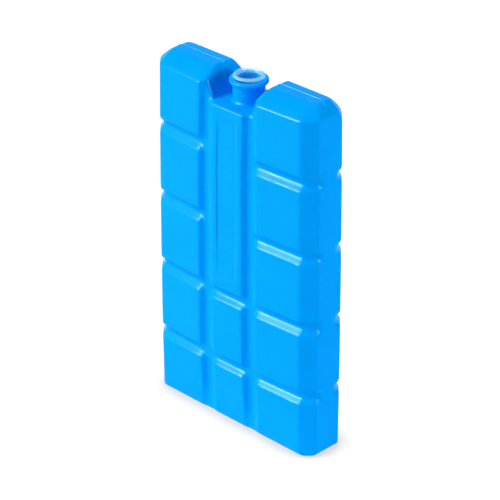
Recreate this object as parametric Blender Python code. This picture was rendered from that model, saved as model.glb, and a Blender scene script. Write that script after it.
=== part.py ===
"""Reusable freezer ice pack: a blow-moulded block of coolant with raised panels, and its filler plug.

The block stands on its base with the labelled face towards -Y. Its mould halves meet on the plane
y = 0. The origin is on the ground, under the middle of the block.
"""

import math

import bmesh
import bpy

MM = 0.001

# Outline of the block
WIDTH = 98.9 * MM
HEIGHT = 172.9 * MM
THICKNESS = 25.4 * MM
TAPER = 0.6 * MM
SIDE_SWELL = 0.5 * MM
FACE_SWELL = 2.2 * MM
CORNER_CHAMFER = 5.6 * MM
BASE_RADIUS = 2.4 * MM

# How much of the insets beside it a corner chamfer follows, at the crown and at the base
CORNER_FOLLOWS = 0.94
CORNER_FOLLOWS_BASE = 0.4

# Where the faces begin and cease to bulge, as shares of the height
SWELL_FULL = 0.26
SWELL_EASES = 0.7
SWELL_AT_TOP = 0.5

# Rounded crown of the two shoulders, over the front, over the ends and over the back
CROWN_RISE = 5.4 * MM
CROWN_REACH = 10.0 * MM
CROWN_ROUNDNESS = 2.2
END_REACH = 5.4 * MM
END_ROUNDNESS = 1.3
BACK_RISE = 8.4 * MM
BACK_REACH = 7.2 * MM
BACK_ROUNDNESS = 1.3
CROWN_DIP = 0.7 * MM
DIP_SPREAD = 1.6

# Grid of panels and the grooves between them
CENTRE_PANEL_WIDTH = 18.6 * MM
UPRIGHT_GROOVE = 8.4 * MM
LEVEL_GROOVE = 7.0 * MM
GROOVE_DEPTH = 2.3 * MM
GROOVE_WALL = 2.5 * MM
GROOVE_DEPTH_ON_SIDE = 1.6 * MM
GROOVE_RUN_ONTO_SIDE = 2.6 * MM
PANEL_CORNER = 1.0 * MM
LOWEST_PANEL = 27.7 * MM
PANEL_PITCH = 35.5 * MM
LEVEL_COUNT = 4
CENTRE_COUNT = 2
RUN_OUT_HEIGHT = 13.0 * MM
RUN_OUT_SHARE = 0.2

# Recess for a label in the long centre panel of the front
LABEL_MARGIN_SIDE = 3.1 * MM
LABEL_MARGIN_END = 4.7 * MM
LABEL_DEPTH = 0.6 * MM
LABEL_WALL = 1.0 * MM
LABEL_CORNER = 2.0 * MM

# Notch for the filler neck
NOTCH_DEPTH = 13.1 * MM
NOTCH_BEND_HEIGHT = 9.3 * MM
NOTCH_BEND_SPREAD = 3.5 * MM
NOTCH_TOP_SPREAD = 5.4 * MM
NOTCH_EDGE = 0.5 * MM
PARTING_BEAD = 0.35 * MM

# Filler neck
NECK_RADIUS = 7.3 * MM
NECK_WALL = 1.0 * MM
NECK_FILLET = 1.3 * MM
NECK_HEIGHT = 10.8 * MM
FLANGE_OVERHANG = 1.65 * MM
FLANGE_HEIGHT = 2.2 * MM
FLANGE_EDGE = 0.5 * MM
FILLET_MIDDLE = 0.3
BORE_SPARE = 3.6 * MM

# Sealing plug, pressed into the neck
PLUG_FIT = 0.3 * MM
PLUG_DEPTH = 8.4 * MM
PLUG_WALL = 0.9 * MM
PLUG_RIM_OVERHANG = 1.0 * MM
PLUG_RIM_HEIGHT = 1.6 * MM
PLUG_RIM_STEP = 0.2 * MM
PLUG_EDGE = 0.475 * MM

# Lines of the mesh: how near they lie beside an edge, and how they are shared out
EDGE_LINE = 0.8 * MM
CORNER_LINE = 0.6 * MM
CROWDED_LINE = 0.4 * MM
FINE_LINE = 0.3 * MM
WALL_SHARES = (0.0, 0.5, 1.0)
BASE_SHARES = (0.0, 0.076, 0.293, 0.617, 1.0)
CROWN_SHARES = (0.06, 0.25, 0.5, 0.76, 0.93, 1.0)
ACROSS_SHARES = (0.0, 0.05, 0.17, 0.3, 0.46, 0.5, 0.54, 0.7, 0.83, 0.95, 1.0)
FIRST_RING_LEVEL = 1
RING_CELLS = 8
FIRST_CORNER_ANGLE = 225.0
SMOOTH_ANGLE = 42.0

HALF_WIDTH = WIDTH / 2
HALF_THICKNESS = THICKNESS / 2
NOTCH_FLOOR = HEIGHT - NOTCH_DEPTH
CROWN_START = HEIGHT - CROWN_RISE
CENTRE_EDGE = CENTRE_PANEL_WIDTH / 2
OUTER_EDGE = CENTRE_EDGE + UPRIGHT_GROOVE
NOTCH_FOOT = CENTRE_EDGE + GROOVE_WALL
CHAMFER_START = HALF_WIDTH - CORNER_CHAMFER
BORE_RADIUS = NECK_RADIUS - NECK_WALL
FLANGE_RADIUS = NECK_RADIUS + FLANGE_OVERHANG
BORE_DEPTH = PLUG_DEPTH + BORE_SPARE
BEYOND = 2 * HEIGHT
DIAGONAL = math.sqrt(2)


def clipped(value):
    """Hold a value between 0 and 1."""
    return min(max(value, 0.0), 1.0)


def smooth_step(value):
    """Ease from 0 to 1 as the value goes from 0 to 1."""
    share = clipped(value)
    return share * share * (3.0 - 2.0 * share)


def groove_low(index):
    """Height of the lower edge of a level groove, counted from the base."""
    return LOWEST_PANEL + index * PANEL_PITCH


def panels():
    """Raised panels as (left, right, bottom, top), which run on past the edges of the block."""
    found = []
    bottoms = [-BEYOND] + [groove_low(i) + LEVEL_GROOVE for i in range(LEVEL_COUNT)]
    tops = [groove_low(i) for i in range(LEVEL_COUNT)] + [BEYOND]
    for bottom, top in zip(bottoms, tops):
        found.append((-BEYOND, -OUTER_EDGE, bottom, top))
        found.append((OUTER_EDGE, BEYOND, bottom, top))
    for bottom, top in zip(bottoms[: CENTRE_COUNT + 1], tops[:CENTRE_COUNT] + [BEYOND]):
        found.append((-CENTRE_EDGE, CENTRE_EDGE, bottom, top))
    return found


PANELS = panels()


def outside(box, corner, x, z):
    """Distance from a point to a rectangle with rounded corners, negative inside it."""
    left, right, bottom, top = box
    across = abs(x - (left + right) / 2) - (right - left) / 2 + corner
    along = abs(z - (bottom + top) / 2) - (top - bottom) / 2 + corner
    reach = math.hypot(max(across, 0.0), max(along, 0.0))
    return reach + min(max(across, along), 0.0) - corner


def groove_depth(x, z):
    """Depth of the grooves below the panels at a point of a face."""
    distance = min(outside(panel, PANEL_CORNER, x, z) for panel in PANELS)
    depth = GROOVE_DEPTH * clipped(distance / GROOVE_WALL)
    if abs(x) < OUTER_EDGE:
        share = smooth_step(z / RUN_OUT_HEIGHT)
        depth *= RUN_OUT_SHARE + (1.0 - RUN_OUT_SHARE) * share
    return depth


def side_groove(z):
    """Depth of the level grooves where they cross the corner chamfers."""
    middle_of_column = (OUTER_EDGE + HALF_WIDTH) / 2
    return groove_depth(middle_of_column, z) / GROOVE_DEPTH * GROOVE_DEPTH_ON_SIDE


def label_box():
    """The recess for a label, as (left, right, bottom, top)."""
    half = CENTRE_EDGE - LABEL_MARGIN_SIDE
    bottom = groove_low(CENTRE_COUNT - 1) + LEVEL_GROOVE + LABEL_MARGIN_END
    return (-half, half, bottom, NOTCH_FLOOR - LABEL_MARGIN_END)


def rounded_inset(z, rise, reach, roundness):
    """How far a rounded crown of a given rise and reach draws in at a height."""
    left = 1.0 - clipped((z - HEIGHT + rise) / rise)
    return reach * (1.0 - left ** (1.0 / roundness))


def crown_inset(z, is_front):
    """How far the crown draws in from the front or the back at a height."""
    if is_front:
        return rounded_inset(z, CROWN_RISE, CROWN_REACH, CROWN_ROUNDNESS)
    return rounded_inset(z, BACK_RISE, BACK_REACH, BACK_ROUNDNESS)


def end_inset(z):
    """How far the crown draws in from the ends of the block at a height."""
    return rounded_inset(z, CROWN_RISE, END_REACH, END_ROUNDNESS)


def base_inset(z):
    """How far the rounded edge of the base draws in at a height."""
    left = clipped((BASE_RADIUS - z) / BASE_RADIUS)
    return BASE_RADIUS * (1.0 - math.sqrt(1.0 - left * left))


def corner_inset(z, is_front):
    """How far a corner chamfer draws in at a height, between the face and the end beside it."""
    crown = (crown_inset(z, is_front) + end_inset(z)) / 2
    return side_groove(z) + CORNER_FOLLOWS * crown + CORNER_FOLLOWS_BASE * base_inset(z)


def outer_limit(z):
    """Half the width of the block at a height, before its taper and swell."""
    return HALF_WIDTH - side_groove(z) - end_inset(z) - base_inset(z)


def notch_limit(z):
    """Half the width of the notch at a height above its floor."""
    lower = clipped((z - NOTCH_FLOOR) / NOTCH_BEND_HEIGHT)
    upper = clipped((z - NOTCH_FLOOR - NOTCH_BEND_HEIGHT) / (NOTCH_DEPTH - NOTCH_BEND_HEIGHT))
    return NOTCH_FOOT + NOTCH_BEND_SPREAD * lower + (NOTCH_TOP_SPREAD - NOTCH_BEND_SPREAD) * upper


def corner_places(z, is_front):
    """Lines that follow the corner chamfer at a height, from the side of the block inwards."""
    limit = outer_limit(z)
    drawn_in = DIAGONAL * (corner_inset(z, is_front) - side_groove(z))
    start = min(CHAMFER_START + crown_inset(z, is_front) + base_inset(z) - drawn_in, limit)
    width = limit - start
    wanted = [
        limit,
        limit - min(2 * CORNER_LINE, width / 3),
        start + min(CORNER_LINE, width / 3),
        start - CORNER_LINE,
        start - 3 * CORNER_LINE,
    ]
    return [min(x, limit - steps * CROWDED_LINE) for steps, x in enumerate(wanted)]


def face_reach(x, z, is_front, on_edge):
    """Distance from the parting plane to a face of the block, without its swell."""
    groove = groove_depth(x, z)
    reach = HALF_THICKNESS - groove
    if is_front:
        inside = -outside(label_box(), LABEL_CORNER, x, z)
        reach -= LABEL_DEPTH * clipped(inside / LABEL_WALL)
    corner = HALF_THICKNESS - CORNER_CHAMFER + HALF_WIDTH
    chamfer = corner - abs(x) - DIAGONAL * corner_inset(z, is_front)
    crown = HALF_THICKNESS - crown_inset(z, is_front) - groove / 2
    reach = min(reach - base_inset(z), chamfer, crown)
    return reach - NOTCH_EDGE if on_edge else reach


def swell(x, z):
    """How far a filled face bulges out at a point."""
    across = 1.0 - (x / HALF_WIDTH) ** 2
    share = z / HEIGHT
    upward = smooth_step(share / SWELL_FULL)
    eased = smooth_step((share - SWELL_EASES) / (1.0 - SWELL_EASES))
    downward = 1.0 - (1.0 - SWELL_AT_TOP) * eased
    return FACE_SWELL * max(across, 0.0) * upward * downward


def shaped(x, y, z, bulge):
    """Give a point the taper, the swell and the dip of the crown."""
    height_share = z / HEIGHT
    widening = TAPER * (1.0 - 2.0 * height_share) + SIDE_SWELL * 4.0 * height_share * (1.0 - height_share)
    dip = CROWN_DIP * (1.0 - (abs(x) / HALF_WIDTH) ** DIP_SPREAD)
    dip *= smooth_step((z - NOTCH_FLOOR) / NOTCH_DEPTH)
    return (x * (1.0 + widening / HALF_WIDTH), y + bulge, z - dip)


def column_places():
    """Places across the face where the mesh has a line, from the middle to the right side."""
    label_edge = CENTRE_EDGE - LABEL_MARGIN_SIDE
    floor_edge = OUTER_EDGE - GROOVE_WALL
    places = [0.0, label_edge - LABEL_WALL, label_edge, CENTRE_EDGE - EDGE_LINE]
    places += [CENTRE_EDGE + GROOVE_WALL * share for share in WALL_SHARES]
    places.append((NOTCH_FOOT + floor_edge) / 2)
    places += [OUTER_EDGE - GROOVE_WALL * share for share in reversed(WALL_SHARES)]
    places += [OUTER_EDGE + EDGE_LINE, (OUTER_EDGE + CHAMFER_START) / 2]
    return places + list(reversed(corner_places(HEIGHT / 2, True)))


def row_places():
    """Heights where the mesh has a line, from the base to the top."""
    rows = [BASE_RADIUS * share for share in BASE_SHARES]
    rows += [RUN_OUT_HEIGHT / 2, RUN_OUT_HEIGHT]
    for index in range(LEVEL_COUNT):
        low = groove_low(index)
        high = low + LEVEL_GROOVE
        rows.append(low - EDGE_LINE)
        rows += [low + GROOVE_WALL * share for share in WALL_SHARES]
        rows += [high - GROOVE_WALL * share for share in WALL_SHARES]
        rows.append(high + EDGE_LINE)
        if index < LEVEL_COUNT - 1:
            rows.append((high + groove_low(index + 1)) / 2)
    bottom, top = label_box()[2:]
    rows += [bottom, bottom + LABEL_WALL, top - LABEL_WALL, top]
    rows += [NOTCH_FLOOR - NOTCH_EDGE - EDGE_LINE, NOTCH_FLOOR - NOTCH_EDGE, NOTCH_FLOOR]
    back_start = HEIGHT - BACK_RISE
    rows += [back_start, (back_start + CROWN_START) / 2]
    rows += [CROWN_START - EDGE_LINE - FINE_LINE, CROWN_START - FINE_LINE]
    rows += [CROWN_START + CROWN_RISE * share for share in CROWN_SHARES]
    return sorted(rows)


class Block:
    """Mesh of the block: two faces joined round their outline, with the neck on the notch's floor."""

    def __init__(self):
        half = column_places()
        self.columns = [-x for x in reversed(half[1:])] + half
        self.rows = row_places()
        self.mesh = bmesh.new()
        self.last_column = len(self.columns) - 1
        self.last_row = len(self.rows) - 1
        self.floor_row = self.rows.index(NOTCH_FLOOR)
        self.right_foot = self.last_column // 2 + half.index(NOTCH_FOOT)
        self.left_foot = self.last_column - self.right_foot
        self.ring_right = self.last_column // 2 + half.index(CENTRE_EDGE)
        self.ring_left = self.last_column - self.ring_right
        self.faces = {True: self.face_points(True), False: self.face_points(False)}
        self.across = {}

    def in_notch(self, row, column):
        """Whether a point of the grid lies in the open part of the notch."""
        return row > self.floor_row and self.left_foot < column < self.right_foot

    def place_of(self, row, column, is_front):
        """Where a point of the grid lies across and up a face."""
        z = self.rows[row]
        x = abs(self.columns[column])
        from_side = min(column, self.last_column - column)
        corner = corner_places(z, is_front)
        if from_side < len(corner):
            x = corner[from_side]
        if row > self.floor_row:
            steps = min(abs(column - self.left_foot), abs(column - self.right_foot))
            x = notch_limit(z) if steps == 0 else max(x, notch_limit(z) + steps * CROWDED_LINE)
        return (math.copysign(x, self.columns[column]), z)

    def on_notch_edge(self, row, column):
        """Whether a point of the grid lies on the edge of the notch."""
        wall = row >= self.floor_row and column in (self.left_foot, self.right_foot)
        floor = row == self.floor_row and self.left_foot <= column <= self.right_foot
        return wall or floor

    def face_points(self, is_front):
        """Make the points of one face, as a dictionary by row and column."""
        sign = -1.0 if is_front else 1.0
        points = {}
        for row in range(self.last_row + 1):
            for column in range(self.last_column + 1):
                if self.in_notch(row, column):
                    continue
                x, z = self.place_of(row, column, is_front)
                y = sign * face_reach(x, z, is_front, self.on_notch_edge(row, column))
                place = shaped(x, y, z, sign * swell(x, z))
                points[row, column] = self.mesh.verts.new(place)
        return points

    def skin_faces(self):
        """Cover both faces with quads."""
        for points in self.faces.values():
            for row in range(self.last_row):
                for column in range(self.last_column):
                    corners = [(row, column), (row, column + 1), (row + 1, column + 1), (row + 1, column)]
                    inside = row >= self.floor_row and self.left_foot <= column < self.right_foot
                    if not inside:
                        self.mesh.faces.new([points[corner] for corner in corners])

    def outline(self):
        """The grid points from the right foot over the top to the left foot, with their surface."""
        top, side = self.last_row, self.last_column
        path = [(row, side, "side") for row in range(top)]
        path += [(top, column, "top") for column in range(side, self.right_foot, -1)]
        path += [(row, self.right_foot, "wall") for row in range(top, self.floor_row, -1)]
        path += [(self.floor_row, column, "floor") for column in range(self.right_foot, self.left_foot, -1)]
        path += [(row, self.left_foot, "wall") for row in range(self.floor_row, top)]
        path += [(top, column, "top") for column in range(self.left_foot, 0, -1)]
        return path + [(row, 0, "side") for row in range(top, -1, -1)]

    def across_points(self, row, column, surface):
        """The points that join a point of the front's outline to the back's."""
        front = self.faces[True][row, column]
        back = self.faces[False][row, column]
        outward = math.copysign(1.0, self.columns[column])
        on_crown = clipped(2.0 * (self.rows[row] - CROWN_START) / CROWN_RISE - 0.5)
        points = [front]
        for share in ACROSS_SHARES[1:-1]:
            place = front.co.lerp(back.co, share)
            from_edge = min(share, 1.0 - share) * (back.co.y - front.co.y)
            bead = PARTING_BEAD if share == 0.5 else 0.0
            if surface == "side":
                kept = smooth_step(1.0 - from_edge / GROOVE_RUN_ONTO_SIDE)
                place.x += outward * (side_groove(self.rows[row]) * (1.0 - kept) + bead * on_crown / 2)
                place.z += bead * on_crown / 2
            if surface == "top":
                place.z += bead
            if surface == "wall":
                place.x -= outward * bead
            points.append(self.mesh.verts.new(place))
        return points + [back]

    def skin_outline(self):
        """Join the faces round the outline, and leave a square hole in the floor for the neck."""
        path = self.outline()
        for row, column, surface in path:
            self.across[row, column] = self.across_points(row, column, surface)
        last_ring_level = FIRST_RING_LEVEL + RING_CELLS
        for here, there in zip(path, path[1:]):
            first, second = self.across[here[:2]], self.across[there[:2]]
            columns = sorted((here[1], there[1]))
            on_ring = self.ring_left <= columns[0] and columns[1] <= self.ring_right
            over_ring = here[2] == "floor" and on_ring
            for level in range(len(ACROSS_SHARES) - 1):
                if over_ring and FIRST_RING_LEVEL <= level < last_ring_level:
                    continue
                corners = [first[level], first[level + 1], second[level + 1], second[level]]
                self.mesh.faces.new(corners)

    def skin_base(self):
        """Close the base: a narrow border inside its edge, and one flat face."""
        front = [self.faces[True][0, column] for column in range(self.last_column + 1)]
        back = [self.faces[False][0, column] for column in range(self.last_column, -1, -1)]
        right = self.across[0, self.last_column][1:-1]
        left = self.across[0, 0][-2:0:-1]
        edge = front + right + back + left
        border = []
        for corner in edge:
            inset = corner.co.copy()
            inset.x *= 1.0 - EDGE_LINE / HALF_WIDTH
            inset.y *= 1.0 - EDGE_LINE / HALF_THICKNESS
            border.append(self.mesh.verts.new(inset))
        for index, corner in enumerate(edge):
            follow = (index + 1) % len(edge)
            self.mesh.faces.new([corner, edge[follow], border[follow], border[index]])
        self.mesh.faces.new(border)

    def hole_loop(self):
        """The points round the square hole in the notch's floor, from its front left corner."""
        row = self.floor_row
        near, far = FIRST_RING_LEVEL, FIRST_RING_LEVEL + RING_CELLS
        left, right = self.ring_left, self.ring_right
        loop = [self.across[row, column][near] for column in range(left, right)]
        loop += [self.across[row, right][level] for level in range(near, far)]
        loop += [self.across[row, column][far] for column in range(right, left, -1)]
        loop += [self.across[row, left][level] for level in range(far, near, -1)]
        return loop

    def neck_profile(self):
        """Radius and height of the neck's outline, from its foot over the flange and down the bore."""
        floor = NOTCH_FLOOR
        top = floor + NECK_HEIGHT
        under = top - FLANGE_HEIGHT
        return [
            (NECK_RADIUS + NECK_FILLET, floor),
            (NECK_RADIUS + FILLET_MIDDLE * NECK_FILLET, floor + FILLET_MIDDLE * NECK_FILLET),
            (NECK_RADIUS, floor + NECK_FILLET),
            (NECK_RADIUS, under - FLANGE_EDGE),
            (NECK_RADIUS + FLANGE_EDGE / 2, under),
            (FLANGE_RADIUS - FLANGE_EDGE, under),
            (FLANGE_RADIUS, under + FLANGE_EDGE),
            (FLANGE_RADIUS, top - FLANGE_EDGE),
            (FLANGE_RADIUS - FLANGE_EDGE, top),
            (BORE_RADIUS + FLANGE_EDGE, top),
            (BORE_RADIUS, top - FLANGE_EDGE),
            (BORE_RADIUS, top - BORE_DEPTH),
        ]

    def add_neck(self):
        """Turn the neck's profile and join it to the hole in the floor."""
        previous = self.hole_loop()
        count = len(previous)
        for radius, height in self.neck_profile():
            ring = []
            for index in range(count):
                angle = math.radians(FIRST_CORNER_ANGLE) + 2.0 * math.pi * index / count
                place = (radius * math.cos(angle), radius * math.sin(angle), height)
                ring.append(self.mesh.verts.new(place))
            for index in range(count):
                follow = (index + 1) % count
                self.mesh.faces.new([previous[index], previous[follow], ring[follow], ring[index]])
            previous = ring
        self.mesh.faces.new(previous)

    def build(self):
        """Make the whole block and return its mesh."""
        self.skin_faces()
        self.skin_outline()
        self.skin_base()
        self.add_neck()
        bmesh.ops.recalc_face_normals(self.mesh, faces=self.mesh.faces)
        return self.mesh


def plug_profile():
    """Radius and height of the plug's section, from the middle of its underside round to its cup."""
    seat = NOTCH_FLOOR + NECK_HEIGHT + PLUG_FIT
    top = seat + PLUG_RIM_HEIGHT
    foot = seat - PLUG_DEPTH
    shank = BORE_RADIUS - PLUG_FIT
    cup = shank - PLUG_WALL
    rim = BORE_RADIUS + PLUG_RIM_OVERHANG
    mouth = cup + PLUG_RIM_STEP
    edge = PLUG_EDGE
    return [
        (shank - edge, foot),
        (shank, foot + 2 * edge),
        (shank, seat),
        (rim - edge, seat),
        (rim, seat + edge),
        (rim, top - 2 * edge),
        (rim - edge, top - edge / 2),
        (rim - 2 * edge, top),
        (mouth + edge, top),
        (mouth, top - edge),
        (cup, seat - edge),
        (cup, foot + PLUG_WALL + edge),
        (cup - edge, foot + PLUG_WALL),
    ]


def build_plug():
    """Turn the plug's section into a closed mesh."""
    mesh = bmesh.new()
    count = 4 * RING_CELLS
    rings = []
    for radius, height in plug_profile():
        ring = []
        for index in range(count):
            angle = 2.0 * math.pi * index / count
            place = (radius * math.cos(angle), radius * math.sin(angle), height)
            ring.append(mesh.verts.new(place))
        rings.append(ring)
    for lower, upper in zip(rings, rings[1:]):
        for index in range(count):
            follow = (index + 1) % count
            mesh.faces.new([lower[index], lower[follow], upper[follow], upper[index]])
    mesh.faces.new(rings[0])
    mesh.faces.new(rings[-1])
    bmesh.ops.recalc_face_normals(mesh, faces=mesh.faces)
    return mesh


def make_material(name, colour, roughness, transmission=0.0):
    """Make a plastic with its colour, gloss and clearness."""
    material = bpy.data.materials.new(name)
    material.use_nodes = True
    shader = material.node_tree.nodes["Principled BSDF"]
    shader.inputs["Base Color"].default_value = (*colour, 1.0)
    shader.inputs["Roughness"].default_value = roughness
    shader.inputs["Metallic"].default_value = 0.0
    shader.inputs["Transmission Weight"].default_value = transmission
    return material


def make_object(name, shape, material):
    """Turn a mesh under construction into a named object with smooth shading."""
    data = bpy.data.meshes.new(name)
    shape.to_mesh(data)
    shape.free()
    data.materials.append(material)
    data.shade_smooth()
    data.set_sharp_from_angle(angle=math.radians(SMOOTH_ANGLE))
    made = bpy.data.objects.new(name, data)
    bpy.context.scene.collection.objects.link(made)
    return made


def main():
    """Clear the scene and model the ice pack."""
    for old in list(bpy.data.objects):
        bpy.data.objects.remove(old, do_unlink=True)
    shell = make_material("blue_polyethylene", (0.0, 0.37, 0.95), 0.28)
    natural = make_material("natural_polyethylene", (0.72, 0.82, 0.95), 0.35, 0.4)
    make_object("filled_body", Block().build(), shell)
    make_object("filler_plug", build_plug(), natural)


main()
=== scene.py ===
"""A reusable freezer ice pack: its blue blown body, its filler plug and a plain studio round them."""

from __future__ import annotations

import logging
import math
from collections.abc import Callable
from dataclasses import dataclass, field
from enum import Enum

import bmesh
import bpy
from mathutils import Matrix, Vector

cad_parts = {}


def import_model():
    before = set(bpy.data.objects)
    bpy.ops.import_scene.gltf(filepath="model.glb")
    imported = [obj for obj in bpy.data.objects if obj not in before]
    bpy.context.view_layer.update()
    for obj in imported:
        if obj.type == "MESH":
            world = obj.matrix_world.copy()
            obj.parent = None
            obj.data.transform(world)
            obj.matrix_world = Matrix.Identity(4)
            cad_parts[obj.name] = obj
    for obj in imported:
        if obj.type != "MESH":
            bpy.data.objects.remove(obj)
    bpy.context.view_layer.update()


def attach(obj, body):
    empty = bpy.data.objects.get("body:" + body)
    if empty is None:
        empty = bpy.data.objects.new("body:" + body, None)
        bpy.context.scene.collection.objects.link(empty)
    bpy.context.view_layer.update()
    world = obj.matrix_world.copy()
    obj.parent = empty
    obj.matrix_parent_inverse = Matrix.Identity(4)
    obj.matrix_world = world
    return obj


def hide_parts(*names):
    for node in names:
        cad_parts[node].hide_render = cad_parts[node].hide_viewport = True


MM = 0.001
NEAR = 0.01 * MM
DIAGONAL = math.sqrt(2)
UPWARD = 0.5
LOG = logging.getLogger("ice_pack")


class Facing(Enum):
    """The two large faces of the block, with the sign of their direction along Y."""

    FRONT = -1.0
    BACK = 1.0


class Surface(Enum):
    """What a point of the blank becomes once the blank is pressed."""

    FACE = "face"
    SIDE = "side"
    TOP = "top"
    WALL = "notch wall"
    FLAT = "flat"


class LampUse(Enum):
    """What a lamp of the studio is for."""

    LIGHT = "lights surfaces evenly"
    WINDOW = "shows as a window in glossy surfaces"


def clipped(value: float) -> float:
    """Hold a value between 0 and 1."""
    return min(max(value, 0.0), 1.0)


def smooth_step(value: float) -> float:
    """Ease from 0 to 1 as the value goes from 0 to 1."""
    share = clipped(value)
    return share * share * (3.0 - 2.0 * share)


def between(value: float, places: list[float], targets: list[float]) -> float:
    """Move a value with the nearest two of some places.

    Args:
        value: The value, which lies between the first place and the last.
        places: Places in rising order.
        targets: Where each place goes.

    Returns:
        Where the value goes, in proportion between its neighbours.
    """
    for low, high, low_to, high_to in zip(places, places[1:], targets, targets[1:]):
        if value <= high + NEAR:
            return low_to + (high_to - low_to) * clipped((value - low) / (high - low))
    return targets[-1]


def outside(box: tuple[float, float, float, float], corner: float, x: float, z: float) -> float:
    """Measure how far a point lies outside a rectangle with rounded corners.

    Args:
        box: The rectangle's left, right, bottom and top.
        corner: Radius of its corners.
        x: Place of the point across the face.
        z: Height of the point.

    Returns:
        The distance, which is negative inside the rectangle.
    """
    left, right, bottom, top = box
    across = abs(x - (left + right) / 2) - (right - left) / 2 + corner
    along = abs(z - (bottom + top) / 2) - (top - bottom) / 2 + corner
    reach = math.hypot(max(across, 0.0), max(along, 0.0))
    return reach + min(max(across, along), 0.0) - corner


def deselect_all() -> None:
    """Leave edit mode and deselect every object."""
    if bpy.context.mode != "OBJECT":
        bpy.ops.object.mode_set(mode="OBJECT")
    bpy.ops.object.select_all(action="DESELECT")


def edit_mesh(piece: bpy.types.Object) -> bmesh.types.BMesh:
    """Give the mesh of a piece in edit mode, with its tables in order.

    Args:
        piece: The piece, in edit mode.

    Returns:
        Its mesh.
    """
    mesh = bmesh.from_edit_mesh(piece.data)
    mesh.verts.ensure_lookup_table()
    return mesh


def select_verts(piece: bpy.types.Object, wanted: Callable[[Vector], bool]) -> None:
    """Select the points of a piece in edit mode by their place.

    Args:
        piece: The piece, in edit mode with vertex selection.
        wanted: A function that takes a point's place and says whether it is selected.
    """
    mesh = edit_mesh(piece)
    for vert in mesh.verts:
        vert.select_set(bool(wanted(vert.co)))
    mesh.select_flush(True)
    mesh.select_flush(False)
    bmesh.update_edit_mesh(piece.data)


def select_faces(piece: bpy.types.Object, wanted: Callable[[Vector, Vector], bool]) -> None:
    """Select the faces of a piece in edit mode by their middle and direction.

    Args:
        piece: The piece, in edit mode.
        wanted: A function that takes a face's middle and normal and says whether it is selected.
    """
    mesh = edit_mesh(piece)
    for face in mesh.faces:
        face.select_set(False)
    for face in mesh.faces:
        if wanted(face.calc_center_median(), face.normal):
            face.select_set(True)
    bmesh.update_edit_mesh(piece.data)


def seen_directly(tree: bpy.types.NodeTree) -> bpy.types.NodeSocket:
    """Tell what the camera sees, also in gloss and through clear plastic, from what only gives light.

    Args:
        tree: The node tree of a material or of the world.

    Returns:
        A value that is 1 for such a ray and 0 for any other.
    """
    links = tree.links
    path = tree.nodes.new("ShaderNodeLightPath")
    gloss = tree.nodes.new("ShaderNodeMath")
    clear = tree.nodes.new("ShaderNodeMath")
    gloss.operation = clear.operation = "MAXIMUM"
    links.new(path.outputs["Is Camera Ray"], gloss.inputs[0])
    links.new(path.outputs["Is Glossy Ray"], gloss.inputs[1])
    links.new(gloss.outputs["Value"], clear.inputs[0])
    links.new(path.outputs["Is Transmission Ray"], clear.inputs[1])
    return clear.outputs["Value"]


def finish_piece(piece: bpy.types.Object, levels: int) -> None:
    """Round a piece with a subdivision surface, apply it and shade the piece smooth.

    Args:
        piece: The piece, in object mode.
        levels: How often its faces are divided.
    """
    rounding = piece.modifiers.new("rounding", "SUBSURF")
    rounding.levels = levels
    rounding.render_levels = levels
    bpy.context.view_layer.objects.active = piece
    bpy.ops.object.modifier_apply(modifier=rounding.name)
    bpy.ops.object.shade_smooth()


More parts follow.
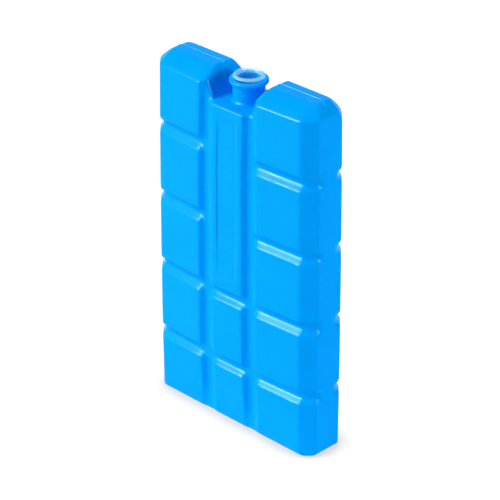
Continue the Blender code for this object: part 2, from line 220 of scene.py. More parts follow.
@dataclass
class BlockForm:
    """Sizes of the moulded block, and the rules that turn a plain blank into its shape."""

    # Whole block
    width: float = 98.9 * MM
    height: float = 172.9 * MM
    thickness: float = 25.4 * MM
    taper: float = 0.6 * MM
    side_swell: float = 0.5 * MM
    face_swell: float = 2.2 * MM
    swell_full: float = 0.26
    swell_eases: float = 0.7
    swell_at_top: float = 0.5
    # Corners and base
    corner_chamfer: float = 5.6 * MM
    corner_follows: float = 0.94
    corner_follows_base: float = 0.4
    base_radius: float = 2.4 * MM
    # Crown, which draws in from the front, the ends and the back
    crown_rise: float = 5.4 * MM
    crown_reach: float = 10.0 * MM
    crown_roundness: float = 1.6
    end_reach: float = 5.4 * MM
    end_roundness: float = 1.3
    back_rise: float = 8.4 * MM
    back_reach: float = 7.2 * MM
    back_roundness: float = 1.3
    crown_dip: float = 0.7 * MM
    dip_spread: float = 1.6
    # Panels and grooves
    centre_panel_width: float = 18.6 * MM
    upright_groove: float = 8.4 * MM
    level_groove: float = 7.0 * MM
    groove_depth: float = 2.3 * MM
    groove_wall: float = 2.5 * MM
    groove_depth_on_side: float = 1.6 * MM
    groove_run_onto_side: float = 2.6 * MM
    panel_corner: float = 1.0 * MM
    lowest_panel: float = 27.7 * MM
    panel_pitch: float = 35.5 * MM
    level_count: int = 4
    centre_count: int = 2
    run_out_height: float = 13.0 * MM
    run_out_share: float = 0.2
    # Recess for a label
    label_margin_side: float = 3.1 * MM
    label_margin_end: float = 4.7 * MM
    label_depth: float = 0.6 * MM
    label_wall: float = 0.45 * MM
    label_line: float = 0.35 * MM
    label_corner: float = 2.0 * MM
    # Notch and parting bead
    notch_depth: float = 13.1 * MM
    notch_bend_height: float = 9.3 * MM
    notch_bend_spread: float = 3.5 * MM
    notch_top_spread: float = 5.4 * MM
    notch_edge: float = 0.5 * MM
    parting_bead: float = 0.52 * MM
    bead_begins: float = 0.25
    bead_full: float = 0.75
    # Lines that keep edges crisp when the mesh is rounded
    edge_line: float = 0.8 * MM
    corner_line: float = 0.6 * MM
    crowded_line: float = 0.4 * MM
    fine_line: float = 0.3 * MM
    base_shares: tuple[float, ...] = (0.076, 0.293, 0.617, 1.0)
    crown_shares: tuple[float, ...] = (0.06, 0.25, 0.5, 0.76, 0.93)
    depth_shares: tuple[float, ...] = (0.05, 0.17, 0.472, 0.488, 0.5, 0.512, 0.528, 0.83, 0.95)
    panels: list[tuple[float, float, float, float]] = field(init=False)

    def __post_init__(self) -> None:
        """Lay out the raised panels, which run on past the edges of the block."""
        beyond = 2 * self.height
        lows = [self.groove_low(index) for index in range(self.level_count)]
        bottoms = [-beyond] + [low + self.level_groove for low in lows]
        tops = lows + [beyond]
        self.panels = []
        for bottom, top in zip(bottoms, tops):
            self.panels.append((-beyond, -self.outer_edge, bottom, top))
            self.panels.append((self.outer_edge, beyond, bottom, top))
        centre_tops = tops[: self.centre_count] + [beyond]
        for bottom, top in zip(bottoms, centre_tops):
            self.panels.append((-self.centre_edge, self.centre_edge, bottom, top))

    @property
    def half_width(self) -> float:
        """Half the width of the blank."""
        return self.width / 2

    @property
    def half_thickness(self) -> float:
        """Half the thickness of the blank."""
        return self.thickness / 2

    @property
    def notch_floor(self) -> float:
        """Height of the notch's floor."""
        return self.height - self.notch_depth

    @property
    def crown_start(self) -> float:
        """Height where the crown begins to draw in."""
        return self.height - self.crown_rise

    @property
    def centre_edge(self) -> float:
        """Half the width of the centre panels."""
        return self.centre_panel_width / 2

    @property
    def outer_edge(self) -> float:
        """Distance from the middle to the outer panels."""
        return self.centre_edge + self.upright_groove

    @property
    def notch_foot(self) -> float:
        """Half the width of the notch at its floor."""
        return self.centre_edge + self.groove_wall

    @property
    def chamfer_start(self) -> float:
        """Distance from the middle to the corner chamfers."""
        return self.half_width - self.corner_chamfer

    @property
    def label_box(self) -> tuple[float, float, float, float]:
        """Lay out the recess for a label.

        Returns:
            Its left, right, bottom and top.
        """
        half = self.centre_edge - self.label_margin_side
        bottom = self.groove_low(self.centre_count - 1) + self.level_groove + self.label_margin_end
        return (-half, half, bottom, self.notch_floor - self.label_margin_end)

    def groove_low(self, index: int) -> float:
        """Height of the lower edge of a level groove, counted from the base."""
        return self.lowest_panel + index * self.panel_pitch

    def groove(self, x: float, z: float) -> float:
        """Measure how deep the grooves lie below the panels at a point of a face.

        Args:
            x: Place across the face.
            z: Height.

        Returns:
            The depth, which is 0 on a panel.
        """
        distance = min(outside(panel, self.panel_corner, x, z) for panel in self.panels)
        depth = self.groove_depth * clipped(distance / self.groove_wall)
        if abs(x) < self.outer_edge:
            share = smooth_step(z / self.run_out_height)
            depth *= self.run_out_share + (1.0 - self.run_out_share) * share
        return depth

    def side_groove(self, z: float) -> float:
        """Depth of the level grooves where they cross the corner chamfers."""
        middle_of_column = (self.outer_edge + self.half_width) / 2
        return self.groove(middle_of_column, z) / self.groove_depth * self.groove_depth_on_side

    def rounded_inset(self, z: float, rise: float, reach: float, roundness: float) -> float:
        """Measure how far a rounded crown draws in at a height.

        Args:
            z: Height.
            rise: How far below the top the crown begins.
            reach: How far it draws in at the top.
            roundness: How full it is; 1 is a straight slope.

        Returns:
            The distance from the plain side.
        """
        left = 1.0 - clipped((z - self.height + rise) / rise)
        return reach * (1.0 - left ** (1.0 / roundness))

    def crown_inset(self, z: float, facing: Facing) -> float:
        """Measure how far the crown draws in from the front or the back.

        Args:
            z: Height.
            facing: Which face it is.

        Returns:
            The distance along Y.
        """
        if facing is Facing.FRONT:
            return self.rounded_inset(z, self.crown_rise, self.crown_reach, self.crown_roundness)
        return self.rounded_inset(z, self.back_rise, self.back_reach, self.back_roundness)

    def end_inset(self, z: float) -> float:
        """How far the crown draws in from the ends of the block at a height."""
        return self.rounded_inset(z, self.crown_rise, self.end_reach, self.end_roundness)

    def base_inset(self, z: float) -> float:
        """How far the rounded edge of the base draws in at a height."""
        left = clipped((self.base_radius - z) / self.base_radius)
        return self.base_radius * (1.0 - math.sqrt(1.0 - left * left))

    def corner_inset(self, z: float, facing: Facing) -> float:
        """Measure how far a corner chamfer draws in, which lies between its face and the end beside it.

        Args:
            z: Height.
            facing: The face beside the chamfer.

        Returns:
            The distance, square to the chamfer.
        """
        crown = (self.crown_inset(z, facing) + self.end_inset(z)) / 2
        base = self.corner_follows_base * self.base_inset(z)
        return self.side_groove(z) + self.corner_follows * crown + base

    def outer_limit(self, z: float) -> float:
        """Half the width of the block at a height, before its taper and swell."""
        return self.half_width - self.side_groove(z) - self.end_inset(z) - self.base_inset(z)

    def notch_limit(self, z: float) -> float:
        """Measure half the width of the notch, whose walls bend.

        Args:
            z: Height, above the notch's floor.

        Returns:
            The distance from the middle to a wall.
        """
        above = z - self.notch_floor
        lower = clipped(above / self.notch_bend_height)
        upper = clipped((above - self.notch_bend_height) / (self.notch_depth - self.notch_bend_height))
        spread = self.notch_bend_spread * lower
        return self.notch_foot + spread + (self.notch_top_spread - self.notch_bend_spread) * upper

    def corner_places(self, z: float, facing: Facing) -> list[float]:
        """Lay out the lines that follow the corner chamfer at a height.

        Args:
            z: Height.
            facing: The face beside the chamfer.

        Returns:
            Places across the face, from the panel out to the side.
        """
        limit = self.outer_limit(z)
        drawn_in = DIAGONAL * (self.corner_inset(z, facing) - self.side_groove(z))
        inset = self.crown_inset(z, facing) + self.base_inset(z)
        start = min(self.chamfer_start + inset - drawn_in, limit)
        third = (limit - start) / 3
        wanted = [
            limit,
            limit - min(2 * self.corner_line, third),
            start + min(self.corner_line, third),
            start - self.corner_line,
            start - 3 * self.corner_line,
        ]
        spaced = [min(x, limit - steps * self.crowded_line) for steps, x in enumerate(wanted)]
        return spaced[::-1]

    def across_place(self, x: float, z: float, facing: Facing) -> float:
        """Draw a point of the blank in with the corners and the notch.

        Args:
            x: Place across the blank.
            z: Height in the blank.
            facing: Which face the point belongs to.

        Returns:
            Its place across the block.
        """
        middle = (self.outer_edge + self.chamfer_start) / 2
        inner = [0.0, self.notch_foot, self.outer_edge + self.edge_line, middle]
        foot = self.notch_limit(z) if z > self.notch_floor + NEAR else self.notch_foot
        targets = [0.0, foot, self.outer_edge + self.edge_line, middle, *self.corner_places(z, facing)]
        places = inner + self.corner_places(self.height / 2, facing)
        return math.copysign(between(abs(x), places, targets), x)

    def reach(self, x: float, z: float, facing: Facing, on_edge: bool) -> float:
        """Measure how far a face lies from the parting plane, without its swell.

        Args:
            x: Place across the face.
            z: Height.
            facing: Which face it is.
            on_edge: Whether the point lies on the edge of the notch, which is rounded.

        Returns:
            The distance along Y.
        """
        groove = self.groove(x, z)
        reach = self.half_thickness - groove
        if facing is Facing.FRONT:
            inside = -outside(self.label_box, self.label_corner, x, z)
            reach -= self.label_depth * clipped(inside / self.label_wall)
        corner = self.half_thickness - self.corner_chamfer + self.half_width
        chamfer = corner - abs(x) - DIAGONAL * self.corner_inset(z, facing)
        crown = self.half_thickness - self.crown_inset(z, facing) - groove / 2
        reach = min(reach - self.base_inset(z), chamfer, crown)
        return reach - self.notch_edge if on_edge else reach

    def swell(self, x: float, z: float) -> float:
        """Measure how far a filled face bulges out.

        Args:
            x: Place across the face.
            z: Height.

        Returns:
            The distance along Y.
        """
        across = max(1.0 - (x / self.half_width) ** 2, 0.0)
        share = z / self.height
        eased = smooth_step((share - self.swell_eases) / (1.0 - self.swell_eases))
        downward = 1.0 - (1.0 - self.swell_at_top) * eased
        return self.face_swell * across * smooth_step(share / self.swell_full) * downward

    def face_point(self, x: float, z: float, facing: Facing) -> Vector:
        """Press a point of the blank's front or back into its place.

        Args:
            x: Place across the blank.
            z: Height in the blank.
            facing: Which face it is.

        Returns:
            The place on the block.
        """
        on_edge = z >= self.notch_floor - NEAR and abs(x) <= self.notch_foot + NEAR
        place = self.across_place(x, z, facing)
        bulge = facing.value * self.swell(place, z)
        y = facing.value * self.reach(place, z, facing, on_edge) + bulge
        share = z / self.height
        widening = self.taper * (1.0 - 2.0 * share) + self.side_swell * 4.0 * share * (1.0 - share)
        dip = self.crown_dip * (1.0 - clipped(abs(place) / self.half_width) ** self.dip_spread)
        dip *= smooth_step((z - self.notch_floor) / self.notch_depth)
        return Vector((place * (1.0 + widening / self.half_width), y, z - dip))

    def on_crown(self, z: float) -> float:
        """How much of the parting bead shows on the ends of the block at a height."""
        share = (z - self.crown_start) / self.crown_rise
        return clipped((share - self.bead_begins) / (self.bead_full - self.bead_begins))

    def surface_of(self, blank: Vector) -> Surface:
        """Say what a point of the blank belongs to.

        Args:
            blank: The point's place in the blank.

        Returns:
            The surface it becomes a part of.
        """
        if abs(blank.y) > self.half_thickness - NEAR:
            return Surface.FACE
        if abs(blank.x) > self.half_width - NEAR:
            return Surface.SIDE
        if blank.z > self.notch_floor + NEAR and abs(blank.x) < self.notch_foot + NEAR:
            return Surface.WALL
        return Surface.TOP if blank.z > self.height - NEAR else Surface.FLAT

    def pressed(self, blank: Vector) -> Vector:
        """Press any point of the blank into its place on the block.

        Args:
            blank: The point's place in the blank.

        Returns:
            Its place on the block.
        """
        front = self.face_point(blank.x, blank.z, Facing.FRONT)
        back = self.face_point(blank.x, blank.z, Facing.BACK)
        share = clipped(blank.y / self.thickness + 0.5)
        place = front.lerp(back, share)
        surface = self.surface_of(blank)
        outward = math.copysign(1.0, blank.x)
        bead = self.parting_bead if abs(blank.y) < NEAR else 0.0
        if surface is Surface.SIDE:
            from_edge = min(share, 1.0 - share) * (back.y - front.y)
            kept = smooth_step(1.0 - from_edge / self.groove_run_onto_side)
            raised = bead * self.on_crown(blank.z) / 2
            place.x += outward * (self.side_groove(blank.z) * (1.0 - kept) + raised)
            place.z += raised
        if surface is Surface.TOP:
            place.z += bead
        if surface is Surface.WALL:
            place.x -= outward * bead
        return place

    def column_lines(self) -> list[float]:
        """Lay out the cuts along the blank's width.

        Returns:
            Places on one side, from the middle outwards.
        """
        label_edge = self.label_box[1]
        floor_edge = self.outer_edge - self.groove_wall
        step = self.label_wall + self.label_line
        lines = [label_edge - step, label_edge - self.label_wall, label_edge, label_edge + self.label_line]
        lines.append(self.centre_edge - self.edge_line)
        lines += [self.centre_edge, self.centre_edge + self.groove_wall / 2, self.notch_foot]
        lines += [floor_edge, self.outer_edge - self.groove_wall / 2, self.outer_edge]
        lines.append(self.outer_edge + self.edge_line)
        lines.append((self.outer_edge + self.chamfer_start) / 2)
        return lines + self.corner_places(self.height / 2, Facing.FRONT)[:-1]

    def row_lines(self) -> list[float]:
        """Lay out the level cuts, from the base to below the notch.

        Returns:
            Heights in rising order.
        """
        rows = [self.base_radius * share for share in self.base_shares]
        rows.append(self.run_out_height)
        for index in range(self.level_count):
            low = self.groove_low(index)
            high = low + self.level_groove
            rows += [low - self.edge_line, low, low + self.groove_wall / 2, low + self.groove_wall]
            rows += [high - self.groove_wall, high - self.groove_wall / 2, high, high + self.edge_line]
        bottom, top = self.label_box[2:]
        for edge, inward in ((bottom, 1.0), (top, -1.0)):
            rows += [edge - inward * self.label_line, edge, edge + inward * self.label_wall]
            rows.append(edge + inward * (self.label_wall + self.label_line))
        rows.append(self.notch_floor - self.notch_edge - self.edge_line)
        rows.append(self.notch_floor - self.notch_edge)
        return sorted(rows)

    def shoulder_lines(self) -> list[float]:
        """Lay out the lines by which the two shoulders are drawn up beside the notch.

        Returns:
            Heights in rising order.
        """
        start = self.crown_start
        back_start = self.height - self.back_rise
        rows = [(self.notch_floor + back_start) / 2, back_start, (back_start + start) / 2]
        rows += [start - self.edge_line - self.fine_line, start - self.fine_line]
        rows += [start + self.crown_rise * share for share in self.crown_shares]
        return rows + [self.height]

    def depth_lines(self) -> list[float]:
        """Places where the blank is cut through its thickness."""
        return [self.thickness * (share - 0.5) for share in self.depth_shares]


@dataclass(frozen=True)
class BlownPlastic:
    """Glossy blue polyethylene, a little translucent, with the slight unevenness of a blown wall."""

    name: str = "blue_polyethylene"
    colour: tuple[float, float, float] = (0.0, 0.32, 0.91)
    pale: tuple[float, float, float] = (0.0, 0.345, 0.95)
    roughness_low: float = 0.15
    roughness_high: float = 0.21
    refraction: float = 1.5
    gloss: float = 0.012
    tint: tuple[float, float, float] = (0.45, 1.0, 1.0)
    depth: float = 0.1
    depth_radius: tuple[float, float, float] = (0.1, 0.5, 1.0)
    depth_scale: float = 3.0 * MM
    cloud_scale: float = 28.0
    cloud_detail: float = 3.0
    grain_scale: float = 900.0
    grain_detail: float = 4.0
    grain_height: float = 0.03 * MM
    grain_strength: float = 0.05
    ripple_scale: float = 55.0
    ripple_detail: float = 1.0
    ripple_height: float = 0.3 * MM
    ripple_strength: float = 0.08

    def make(self) -> bpy.types.Material:
        """Build the material.

        Returns:
            The new material.
        """
        material = bpy.data.materials.new(self.name)
        material.use_nodes = True
        tree = material.node_tree
        shader = tree.nodes["Principled BSDF"]
        shader.inputs["IOR"].default_value = self.refraction
        shader.inputs["Specular IOR Level"].default_value = self.gloss
        shader.inputs["Specular Tint"].default_value = (*self.tint, 1.0)
        shader.inputs["Subsurface Weight"].default_value = self.depth
        shader.inputs["Subsurface Radius"].default_value = self.depth_radius
        shader.inputs["Subsurface Scale"].default_value = self.depth_scale
        place = tree.nodes.new("ShaderNodeTexCoord").outputs["Object"]
        grain = self.noise(tree, place, self.grain_scale, self.grain_detail)
        self.vary_colour(tree, place, shader)
        self.vary_gloss(tree, grain, shader)
        self.vary_relief(tree, place, grain, shader)
        return material

    def vary_colour(
        self, tree: bpy.types.NodeTree, place: bpy.types.NodeSocket, shader: bpy.types.Node
    ) -> None:
        """Let the colour drift between its two shades.

        Args:
            tree: The material's node tree.
            place: The place on the object.
            shader: The shader that takes the colour.
        """
        mix = tree.nodes.new("ShaderNodeMix")
        mix.data_type = "RGBA"
        mix.inputs["A"].default_value = (*self.colour, 1.0)
        mix.inputs["B"].default_value = (*self.pale, 1.0)
        clouds = self.noise(tree, place, self.cloud_scale, self.cloud_detail)
        tree.links.new(clouds, mix.inputs["Factor"])
        tree.links.new(mix.outputs["Result"], shader.inputs["Base Color"])

    def vary_gloss(
        self, tree: bpy.types.NodeTree, grain: bpy.types.NodeSocket, shader: bpy.types.Node
    ) -> None:
        """Let the roughness follow the grain.

        Args:
            tree: The material's node tree.
            grain: The fine noise.
            shader: The shader that takes the roughness.
        """
        gloss = tree.nodes.new("ShaderNodeMapRange")
        gloss.inputs["To Min"].default_value = self.roughness_low
        gloss.inputs["To Max"].default_value = self.roughness_high
        tree.links.new(grain, gloss.inputs["Value"])
        tree.links.new(gloss.outputs["Result"], shader.inputs["Roughness"])

    def vary_relief(
        self,
        tree: bpy.types.NodeTree,
        place: bpy.types.NodeSocket,
        grain: bpy.types.NodeSocket,
        shader: bpy.types.Node,
    ) -> None:
        """Lay the fine grain over a slow ripple.

        Args:
            tree: The material's node tree.
            place: The place on the object.
            grain: The fine noise.
            shader: The shader that takes the relief.
        """
        ripple = self.noise(tree, place, self.ripple_scale, self.ripple_detail)
        waves = self.bump(tree, ripple, self.ripple_strength, self.ripple_height)
        fine = self.bump(tree, grain, self.grain_strength, self.grain_height)
        tree.links.new(waves.outputs["Normal"], fine.inputs["Normal"])
        tree.links.new(fine.outputs["Normal"], shader.inputs["Normal"])

    @staticmethod
    def noise(
        tree: bpy.types.NodeTree, place: bpy.types.NodeSocket, scale: float, detail: float
    ) -> bpy.types.NodeSocket:
        """Add a noise that follows the object.

        Args:
            tree: The material's node tree.
            place: The place on the object.
            scale: Waves per metre.
            detail: How many finer waves are added.

        Returns:
            The noise, from 0 to 1.
        """
        noise = tree.nodes.new("ShaderNodeTexNoise")
        noise.inputs["Scale"].default_value = scale
        noise.inputs["Detail"].default_value = detail
        tree.links.new(place, noise.inputs["Vector"])
        return noise.outputs["Fac"]

    @staticmethod
    def bump(
        tree: bpy.types.NodeTree, height: bpy.types.NodeSocket, strength: float, distance: float
    ) -> bpy.types.Node:
        """Add a bump driven by a noise.

        Args:
            tree: The material's node tree.
            height: The noise.
            strength: Share of the bump that shows.
            distance: Its height in metres.

        Returns:
            The bump node.
        """
        bump = tree.nodes.new("ShaderNodeBump")
        bump.inputs["Strength"].default_value = strength
        bump.inputs["Distance"].default_value = distance
        tree.links.new(height, bump.inputs["Height"])
        return bump


@dataclass(frozen=True)
class NaturalPlastic(BlownPlastic):
    """Uncoloured polyethylene, clear where thin, milky where thick; its blue tint is painted light."""

    name: str = "natural_polyethylene"
    # Milky white plastic, with blue light from the body painted into both shades
    colour: tuple[float, float, float] = (0.26, 0.7, 1.0)
    pale: tuple[float, float, float] = (0.32, 0.76, 1.0)
    roughness_low: float = 0.2
    roughness_high: float = 0.28
    gloss: float = 0.04
    tint: tuple[float, float, float] = (1.0, 1.0, 1.0)
    depth: float = 0.0
    # How much the thin cup and the thick rim cover, and the height where the rim begins
    thin_cover: float = 0.04
    thick_cover: float = 0.62
    thick_from: float = 170.9 * MM
    thick_blend: float = 0.4 * MM
    shadow_share: float = 0.2

    def make(self) -> bpy.types.Material:
        """Build the material, with its clear cup and its milky rim.

        Returns:
            The new material.
        """
        material = super().make()
        self.clear_cup(material.node_tree)
        return material

    def clear_cup(self, tree: bpy.types.NodeTree) -> None:
        """Cover little in the thin cup and more in the thick rim, and let most light through both.

        Args:
            tree: The material's node tree.
        """
        nodes, links = tree.nodes, tree.links
        shader = nodes["Principled BSDF"]
        height = nodes.new("ShaderNodeSeparateXYZ")
        links.new(nodes.new("ShaderNodeTexCoord").outputs["Object"], height.inputs["Vector"])
        cover = nodes.new("ShaderNodeMapRange")
        cover.inputs["From Min"].default_value = self.thick_from - self.thick_blend
        cover.inputs["From Max"].default_value = self.thick_from
        cover.inputs["To Min"].default_value = self.thin_cover
        cover.inputs["To Max"].default_value = self.thick_cover
        links.new(height.outputs["Z"], cover.inputs["Value"])
        path = nodes.new("ShaderNodeLightPath")
        side = nodes.new("ShaderNodeNewGeometry")
        reached = cover.outputs["Result"]
        cases = ((path.outputs["Is Shadow Ray"], self.shadow_share), (side.outputs["Backfacing"], 0.0))
        for case, share in cases:
            kept = nodes.new("ShaderNodeMapRange")
            kept.inputs["To Min"].default_value = 1.0
            kept.inputs["To Max"].default_value = share
            links.new(case, kept.inputs["Value"])
            product = nodes.new("ShaderNodeMath")
            product.operation = "MULTIPLY"
            links.new(reached, product.inputs[0])
            links.new(kept.outputs["Result"], product.inputs[1])
            reached = product.outputs["Value"]
        shader.inputs["Alpha"].default_value = self.thin_cover
        links.new(reached, shader.inputs["Alpha"])


@dataclass(frozen=True)
class PaleFloor:
    """A plain white floor, glowing white, with a painted soft shadow at the foot of the object."""

    name: str = "white_floor"
    roughness: float = 0.9
    gloss: float = 0.1
    own_white: float = 0.75
    own_strength: float = 1.32
    # Painted shadow at the foot of the object: its width, its darkest level and the occlusion where it
    # begins
    painted_shadow_width: float = 11.0 * MM
    painted_shadow_depth: float = 0.64
    painted_shadow_from: float = 0.5
    colour: tuple[float, float, float] = (0.64, 0.64, 0.65)

    def make(self) -> bpy.types.Material:
        """Build the material.

        Returns:
            The new material.
        """
        material = bpy.data.materials.new(self.name)
        material.use_nodes = True
        nodes, links = material.node_tree.nodes, material.node_tree.links
        shader = nodes["Principled BSDF"]
        shader.inputs["Base Color"].default_value = (*self.colour, 1.0)
        shader.inputs["Roughness"].default_value = self.roughness
        shader.inputs["Specular IOR Level"].default_value = self.gloss
        glow = nodes.new("ShaderNodeEmission")
        glow.inputs["Strength"].default_value = self.own_strength
        # Painted shadow: ambient occlusion darkens the floor's white glow near the object's foot
        foot = nodes.new("ShaderNodeAmbientOcclusion")
        foot.inputs["Distance"].default_value = self.painted_shadow_width
        shade = nodes.new("ShaderNodeMapRange")
        shade.inputs["From Min"].default_value = self.painted_shadow_from
        shade.inputs["To Min"].default_value = self.painted_shadow_depth
        links.new(foot.outputs["AO"], shade.inputs["Value"])
        links.new(shade.outputs["Result"], glow.inputs["Color"])
        share = nodes.new("ShaderNodeMath")
        share.operation = "MULTIPLY"
        share.inputs[1].default_value = self.own_white
        mix = nodes.new("ShaderNodeMixShader")
        links.new(seen_directly(material.node_tree), share.inputs[0])
        links.new(share.outputs["Value"], mix.inputs["Fac"])
        links.new(shader.outputs["BSDF"], mix.inputs[1])
        links.new(glow.outputs["Emission"], mix.inputs[2])
        links.new(mix.outputs["Shader"], nodes["Material Output"].inputs["Surface"])
        return material


@dataclass
class BlownBody:
    """The filled body: a blank cut into cells, pressed into the block's shape, with its neck drawn up."""

    form: BlockForm
    levels: int = 2
    quick_levels: int = 1
    neck_radius: float = 7.3 * MM
    neck_wall: float = 1.0 * MM
    neck_fillet: float = 1.3 * MM
    neck_height: float = 10.8 * MM
    flange_overhang: float = 1.65 * MM
    flange_height: float = 2.2 * MM
    flange_edge: float = 0.5 * MM
    fillet_middle: float = 0.3
    bore_depth: float = 12.0 * MM
    first_ring_line: int = 0
    ring_points: int = 32

    def blank(self) -> bpy.types.Object:
        """Add the lower part of the blank and cut it into cells.

        Returns:
            The blank, in edit mode.
        """
        form = self.form
        deselect_all()
        bpy.ops.mesh.primitive_cube_add(size=1.0)
        piece = bpy.context.object
        piece.name = "ice_pack_body"
        bpy.ops.object.mode_set(mode="EDIT")
        bpy.ops.transform.resize(value=(form.width, form.thickness, form.notch_floor))
        bpy.ops.transform.translate(value=(0.0, 0.0, form.notch_floor / 2))
        columns = form.column_lines()
        cuts = [((x, 0.0, 0.0), (1.0, 0.0, 0.0)) for x in sorted({-x for x in columns} | set(columns))]
        cuts += [((0.0, y, 0.0), (0.0, 1.0, 0.0)) for y in form.depth_lines()]
        cuts += [((0.0, 0.0, z), (0.0, 0.0, 1.0)) for z in form.row_lines()]
        for place, direction in cuts:
            bpy.ops.mesh.select_all(action="SELECT")
            bpy.ops.mesh.bisect(plane_co=place, plane_no=direction, threshold=NEAR)
        return piece

    def raise_shoulders(self, piece: bpy.types.Object) -> None:
        """Draw the two shoulders up beside the notch, one line at a time.

        Args:
            piece: The blank, in edit mode.
        """
        form = self.form
        foot = form.notch_foot

        def on_shoulder(middle: Vector, normal: Vector) -> bool:
            """Whether a face is part of a shoulder's top."""
            return normal.z > UPWARD and abs(middle.x) > foot

        select_faces(piece, on_shoulder)
        height = form.notch_floor
        for line in form.shoulder_lines():
            step = {"value": (0.0, 0.0, line - height)}
            bpy.ops.mesh.extrude_region_move(TRANSFORM_OT_translate=step)
            height = line

    def open_floor(self, piece: bpy.types.Object) -> None:
        """Take out the part of the notch's floor that the neck stands on.

        Args:
            piece: The blank, in edit mode.
        """
        form = self.form
        reach = -form.depth_lines()[self.first_ring_line]

        def under_neck(middle: Vector, normal: Vector) -> bool:
            """Whether a face is where the neck stands."""
            inside = abs(middle.x) < form.centre_edge and abs(middle.y) < reach
            return inside and normal.z > UPWARD and abs(middle.z - form.notch_floor) < NEAR

        select_faces(piece, under_neck)
        bpy.ops.mesh.delete(type="FACE")

    def press(self, piece: bpy.types.Object) -> None:
        """Press every point of the blank into its place.

        Args:
            piece: The blank, in edit mode.
        """
        mesh = edit_mesh(piece)
        for vert in mesh.verts:
            vert.co = self.form.pressed(vert.co.copy())
        bmesh.update_edit_mesh(piece.data)

    def neck_profile(self) -> list[tuple[float, float]]:
        """Lay out the neck's section, from its foot over the flange and down the bore.

        Returns:
            The radius and height of each line.
        """
        floor = self.form.notch_floor
        top = floor + self.neck_height
        under = top - self.flange_height
        flange = self.neck_radius + self.flange_overhang
        bore = self.neck_radius - self.neck_wall
        edge = self.flange_edge
        middle = self.fillet_middle * self.neck_fillet
        return [
            (self.neck_radius + self.neck_fillet, floor),
            (self.neck_radius + middle, floor + middle),
            (self.neck_radius, floor + self.neck_fillet),
            (self.neck_radius, under - edge),
            (self.neck_radius + edge / 2, under),
            (flange - edge, under),
            (flange, under + edge),
            (flange, top - edge),
            (flange - edge, top),
            (bore + edge, top),
            (bore, top - edge),
            (bore, top - self.bore_depth),
        ]

    def add_neck(self, piece: bpy.types.Object) -> None:
        """Bridge the open floor to the neck's foot and draw the neck up, over its flange and down its bore.

        Args:
            piece: The pressed block, in edit mode.
        """
        profile = self.neck_profile()
        radius, height = profile[0]
        bpy.ops.mesh.select_all(action="DESELECT")
        bpy.ops.mesh.primitive_circle_add(
            vertices=self.ring_points,
            radius=radius,
            location=(0.0, 0.0, height),
            rotation=(0.0, 0.0, math.pi / 4),
        )
        mesh = edit_mesh(piece)
        for edge in mesh.edges:
            if edge.is_boundary:
                edge.select_set(True)
        bmesh.update_edit_mesh(piece.data)
        bpy.ops.mesh.bridge_edge_loops()
        foot = radius

        def on_foot(place: Vector) -> bool:
            """Whether a point lies on the neck's foot."""
            return abs(place.z - height) < NEAR and abs(math.hypot(place.x, place.y) - foot) < NEAR

        select_verts(piece, on_foot)
        for next_radius, next_height in profile[1:]:
            bpy.ops.mesh.extrude_edges_move(
                TRANSFORM_OT_translate={"value": (0.0, 0.0, next_height - height)}
            )
            scale = next_radius / radius
            bpy.ops.transform.resize(value=(scale, scale, 1.0), center_override=(0.0, 0.0, 0.0))
            radius, height = next_radius, next_height
        bpy.ops.mesh.edge_face_add()

    def build(self) -> bpy.types.Object:
        """Make the body and hand it to the frame.

        Returns:
            The finished piece, which stands for the CAD body.
        """
        piece = self.blank()
        self.raise_shoulders(piece)
        self.open_floor(piece)
        self.press(piece)
        self.add_neck(piece)
        bpy.ops.mesh.select_all(action="SELECT")
        bpy.ops.mesh.normals_make_consistent(inside=False)
        bpy.ops.object.mode_set(mode="OBJECT")
        finish_piece(piece, self.levels)
        piece.data.materials.append(BlownPlastic().make())
        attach(piece, "root")
        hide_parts("filled_body")
        return piece


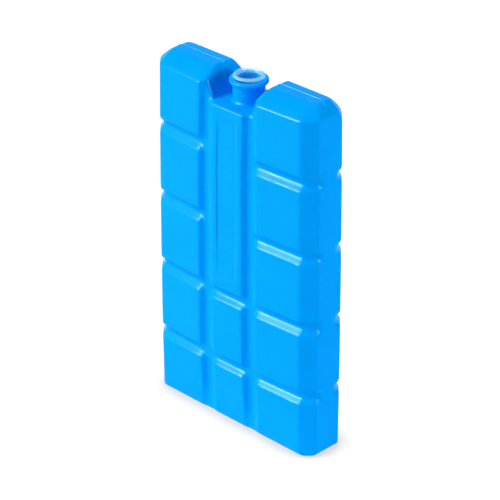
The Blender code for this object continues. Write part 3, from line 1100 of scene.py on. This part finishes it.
@dataclass
class FillerPlug:
    """The push-in plug: a turned cup with a rounded rim."""

    body: BlownBody
    levels: int = 1
    fit: float = 0.3 * MM
    depth: float = 8.4 * MM
    wall: float = 0.9 * MM
    rim_overhang: float = 1.0 * MM
    rim_height: float = 1.6 * MM
    rim_step: float = 0.2 * MM
    edge: float = 0.475 * MM
    steps: int = 64

    def profile(self) -> list[tuple[float, float]]:
        """Lay out the plug's section, from its underside over the rim into its cup.

        Returns:
            The radius and height of each line.
        """
        seat = self.body.form.notch_floor + self.body.neck_height + self.fit
        top = seat + self.rim_height
        foot = seat - self.depth
        bore = self.body.neck_radius - self.body.neck_wall
        shank = bore - self.fit
        cup = shank - self.wall
        rim = bore + self.rim_overhang
        mouth = cup + self.rim_step
        edge = self.edge
        return [
            (shank - edge, foot),
            (shank, foot + 2 * edge),
            (shank, seat),
            (rim - edge, seat),
            (rim, seat + edge),
            (rim, top - 2 * edge),
            (rim - edge, top - edge / 2),
            (rim - 2 * edge, top),
            (mouth + edge, top),
            (mouth, top - edge),
            (cup, seat - edge),
            (cup, foot + self.wall + edge),
            (cup - edge, foot + self.wall),
        ]

    def build(self) -> bpy.types.Object:
        """Spin the section and hand the plug to the frame.

        Returns:
            The finished piece, which stands for the CAD plug.
        """
        profile = self.profile()
        deselect_all()
        radius, height = profile[0]
        bpy.ops.mesh.primitive_circle_add(
            vertices=self.steps, radius=radius, fill_type="NGON", location=(0.0, 0.0, 0.0)
        )
        piece = bpy.context.object
        piece.name = "ice_pack_plug"
        bpy.ops.object.mode_set(mode="EDIT")
        bpy.ops.mesh.select_all(action="SELECT")
        bpy.ops.transform.translate(value=(0.0, 0.0, height))
        for next_radius, next_height in profile[1:]:
            step = {"value": (0.0, 0.0, next_height - height)}
            bpy.ops.mesh.extrude_region_move(TRANSFORM_OT_translate=step)
            scale = next_radius / radius
            bpy.ops.transform.resize(value=(scale, scale, 1.0), center_override=(0.0, 0.0, 0.0))
            radius, height = next_radius, next_height
        bpy.ops.mesh.select_all(action="SELECT")
        bpy.ops.mesh.normals_make_consistent(inside=False)
        bpy.ops.object.mode_set(mode="OBJECT")
        finish_piece(piece, self.levels)
        piece.data.materials.append(NaturalPlastic().make())
        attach(piece, "root")
        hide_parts("filler_plug")
        return piece


@dataclass(frozen=True)
class Lamp:
    """An oblong lamp that faces the object.

    Its direction is seen from the object, and its size is its width and height. Its level is about the
    brightness that it would give a white surface that faces it.
    """

    name: str
    towards: tuple[float, float, float]
    away: float
    size: tuple[float, float]
    level: float
    use: LampUse = LampUse.LIGHT


LAMPS = (
    Lamp("key", (-0.48, -0.57, 0.64), 1.1, (0.8, 0.8), 1.04),
    Lamp("front_fill", (-0.1, -0.66, 0.7), 1.3, (1.0, 1.0), 0.23),
    Lamp("side_fill", (0.95, 0.3, 0.27), 1.2, (0.45, 0.45), 0.58),
    Lamp("back_fill", (-0.3, 0.95, 0.12), 1.2, (0.8, 0.8), 0.6),
    Lamp("window", (-0.432, -0.866, 0.25), 1.1, (0.52, 0.33), 25.0, LampUse.WINDOW),
    Lamp("upper_window", (-0.4, -0.7, 0.54), 1.1, (0.5, 0.28), 7.4, LampUse.WINDOW),
    Lamp("side_window", (0.944, -0.036, 0.324), 1.2, (0.13, 0.13), 7.0, LampUse.WINDOW),
)


@dataclass
class Studio:
    """A white floor, soft lamps and the camera."""

    lamps: tuple[Lamp, ...] = LAMPS
    floor_size: float = 6.0
    floor_drop: float = 0.3 * MM
    target: tuple[float, float, float] = (0.0, -0.33 * MM, 103.1 * MM)
    aim_right: float = 0.587 * MM
    aim_up: float = -15.8 * MM
    distance: float = 1.1288
    azimuth: float = 44.67
    elevation: float = 28.04
    lens: float = 181.0
    sensor_width: float = 36.0
    ambient: float = 0.17

    def floor(self) -> None:
        """Lay the floor."""
        deselect_all()
        bpy.ops.mesh.primitive_plane_add(size=1.0)
        floor = bpy.context.object
        floor.name = "floor"
        bpy.ops.object.mode_set(mode="EDIT")
        bpy.ops.transform.resize(value=(self.floor_size, self.floor_size, 1.0))
        bpy.ops.transform.translate(value=(0.0, 0.0, -self.floor_drop))
        bpy.ops.object.mode_set(mode="OBJECT")
        floor.data.materials.append(PaleFloor().make())

    def hang(self, lamp: Lamp) -> None:
        """Hang a lamp beside the object, turned to it.

        Args:
            lamp: The lamp.
        """
        data = bpy.data.lights.new(lamp.name, "AREA")
        data.shape = "RECTANGLE"
        data.size, data.size_y = lamp.size
        data.energy = lamp.level * (math.pi * lamp.away) ** 2
        holder = bpy.data.objects.new(lamp.name, data)
        bpy.context.scene.collection.objects.link(holder)
        direction = Vector(lamp.towards).normalized()
        holder.location = Vector(self.target) + direction * lamp.away
        holder.rotation_euler = direction.to_track_quat("Z", "Y").to_euler()
        holder.visible_glossy = lamp.use is LampUse.WINDOW
        holder.visible_diffuse = lamp.use is LampUse.LIGHT

    def world(self) -> None:
        """Light the object evenly, and show white behind it."""
        world = bpy.data.worlds.new("studio")
        world.use_nodes = True
        nodes, links = world.node_tree.nodes, world.node_tree.links
        backdrop = nodes["Background"]
        backdrop.inputs["Color"].default_value = (1.0, 1.0, 1.0, 1.0)
        level = nodes.new("ShaderNodeMapRange")
        level.inputs["To Min"].default_value = self.ambient
        level.inputs["To Max"].default_value = 1.0
        links.new(seen_directly(world.node_tree), level.inputs["Value"])
        links.new(level.outputs["Result"], backdrop.inputs["Strength"])
        bpy.context.scene.world = world

    def camera(self) -> None:
        """Stand the camera where the photograph was taken."""
        turn, rise = math.radians(self.azimuth), math.radians(self.elevation)
        right = Vector((math.cos(turn), math.sin(turn), 0.0))
        ahead = Vector((-math.sin(turn) * math.cos(rise), math.cos(turn) * math.cos(rise), -math.sin(rise)))
        up = right.cross(ahead)
        data = bpy.data.cameras.new("camera")
        data.lens = self.lens
        data.sensor_width = self.sensor_width
        camera = bpy.data.objects.new("camera", data)
        bpy.context.scene.collection.objects.link(camera)
        centre = Vector(self.target) + right * self.aim_right + up * self.aim_up
        camera.location = centre - ahead * self.distance
        camera.rotation_euler = ahead.to_track_quat("-Z", "Y").to_euler()
        bpy.context.scene.camera = camera

    def build(self) -> None:
        """Set up the floor, the light and the camera."""
        self.floor()
        self.world()
        for lamp in self.lamps:
            self.hang(lamp)
        self.camera()
        bpy.context.scene.view_settings.view_transform = "Standard"


def main() -> None:
    """Load the frame, build the ice pack and its studio, and log the face count of both pieces."""
    logging.basicConfig(level=logging.INFO, format="%(name)s: %(message)s")
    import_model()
    body = BlownBody(BlockForm())
    plug = FillerPlug(body)
    for piece in (body.build(), plug.build()):
        LOG.info("%s: %d faces", piece.name, len(piece.data.polygons))
    Studio().build()


if __name__ == "__main__":
    main()
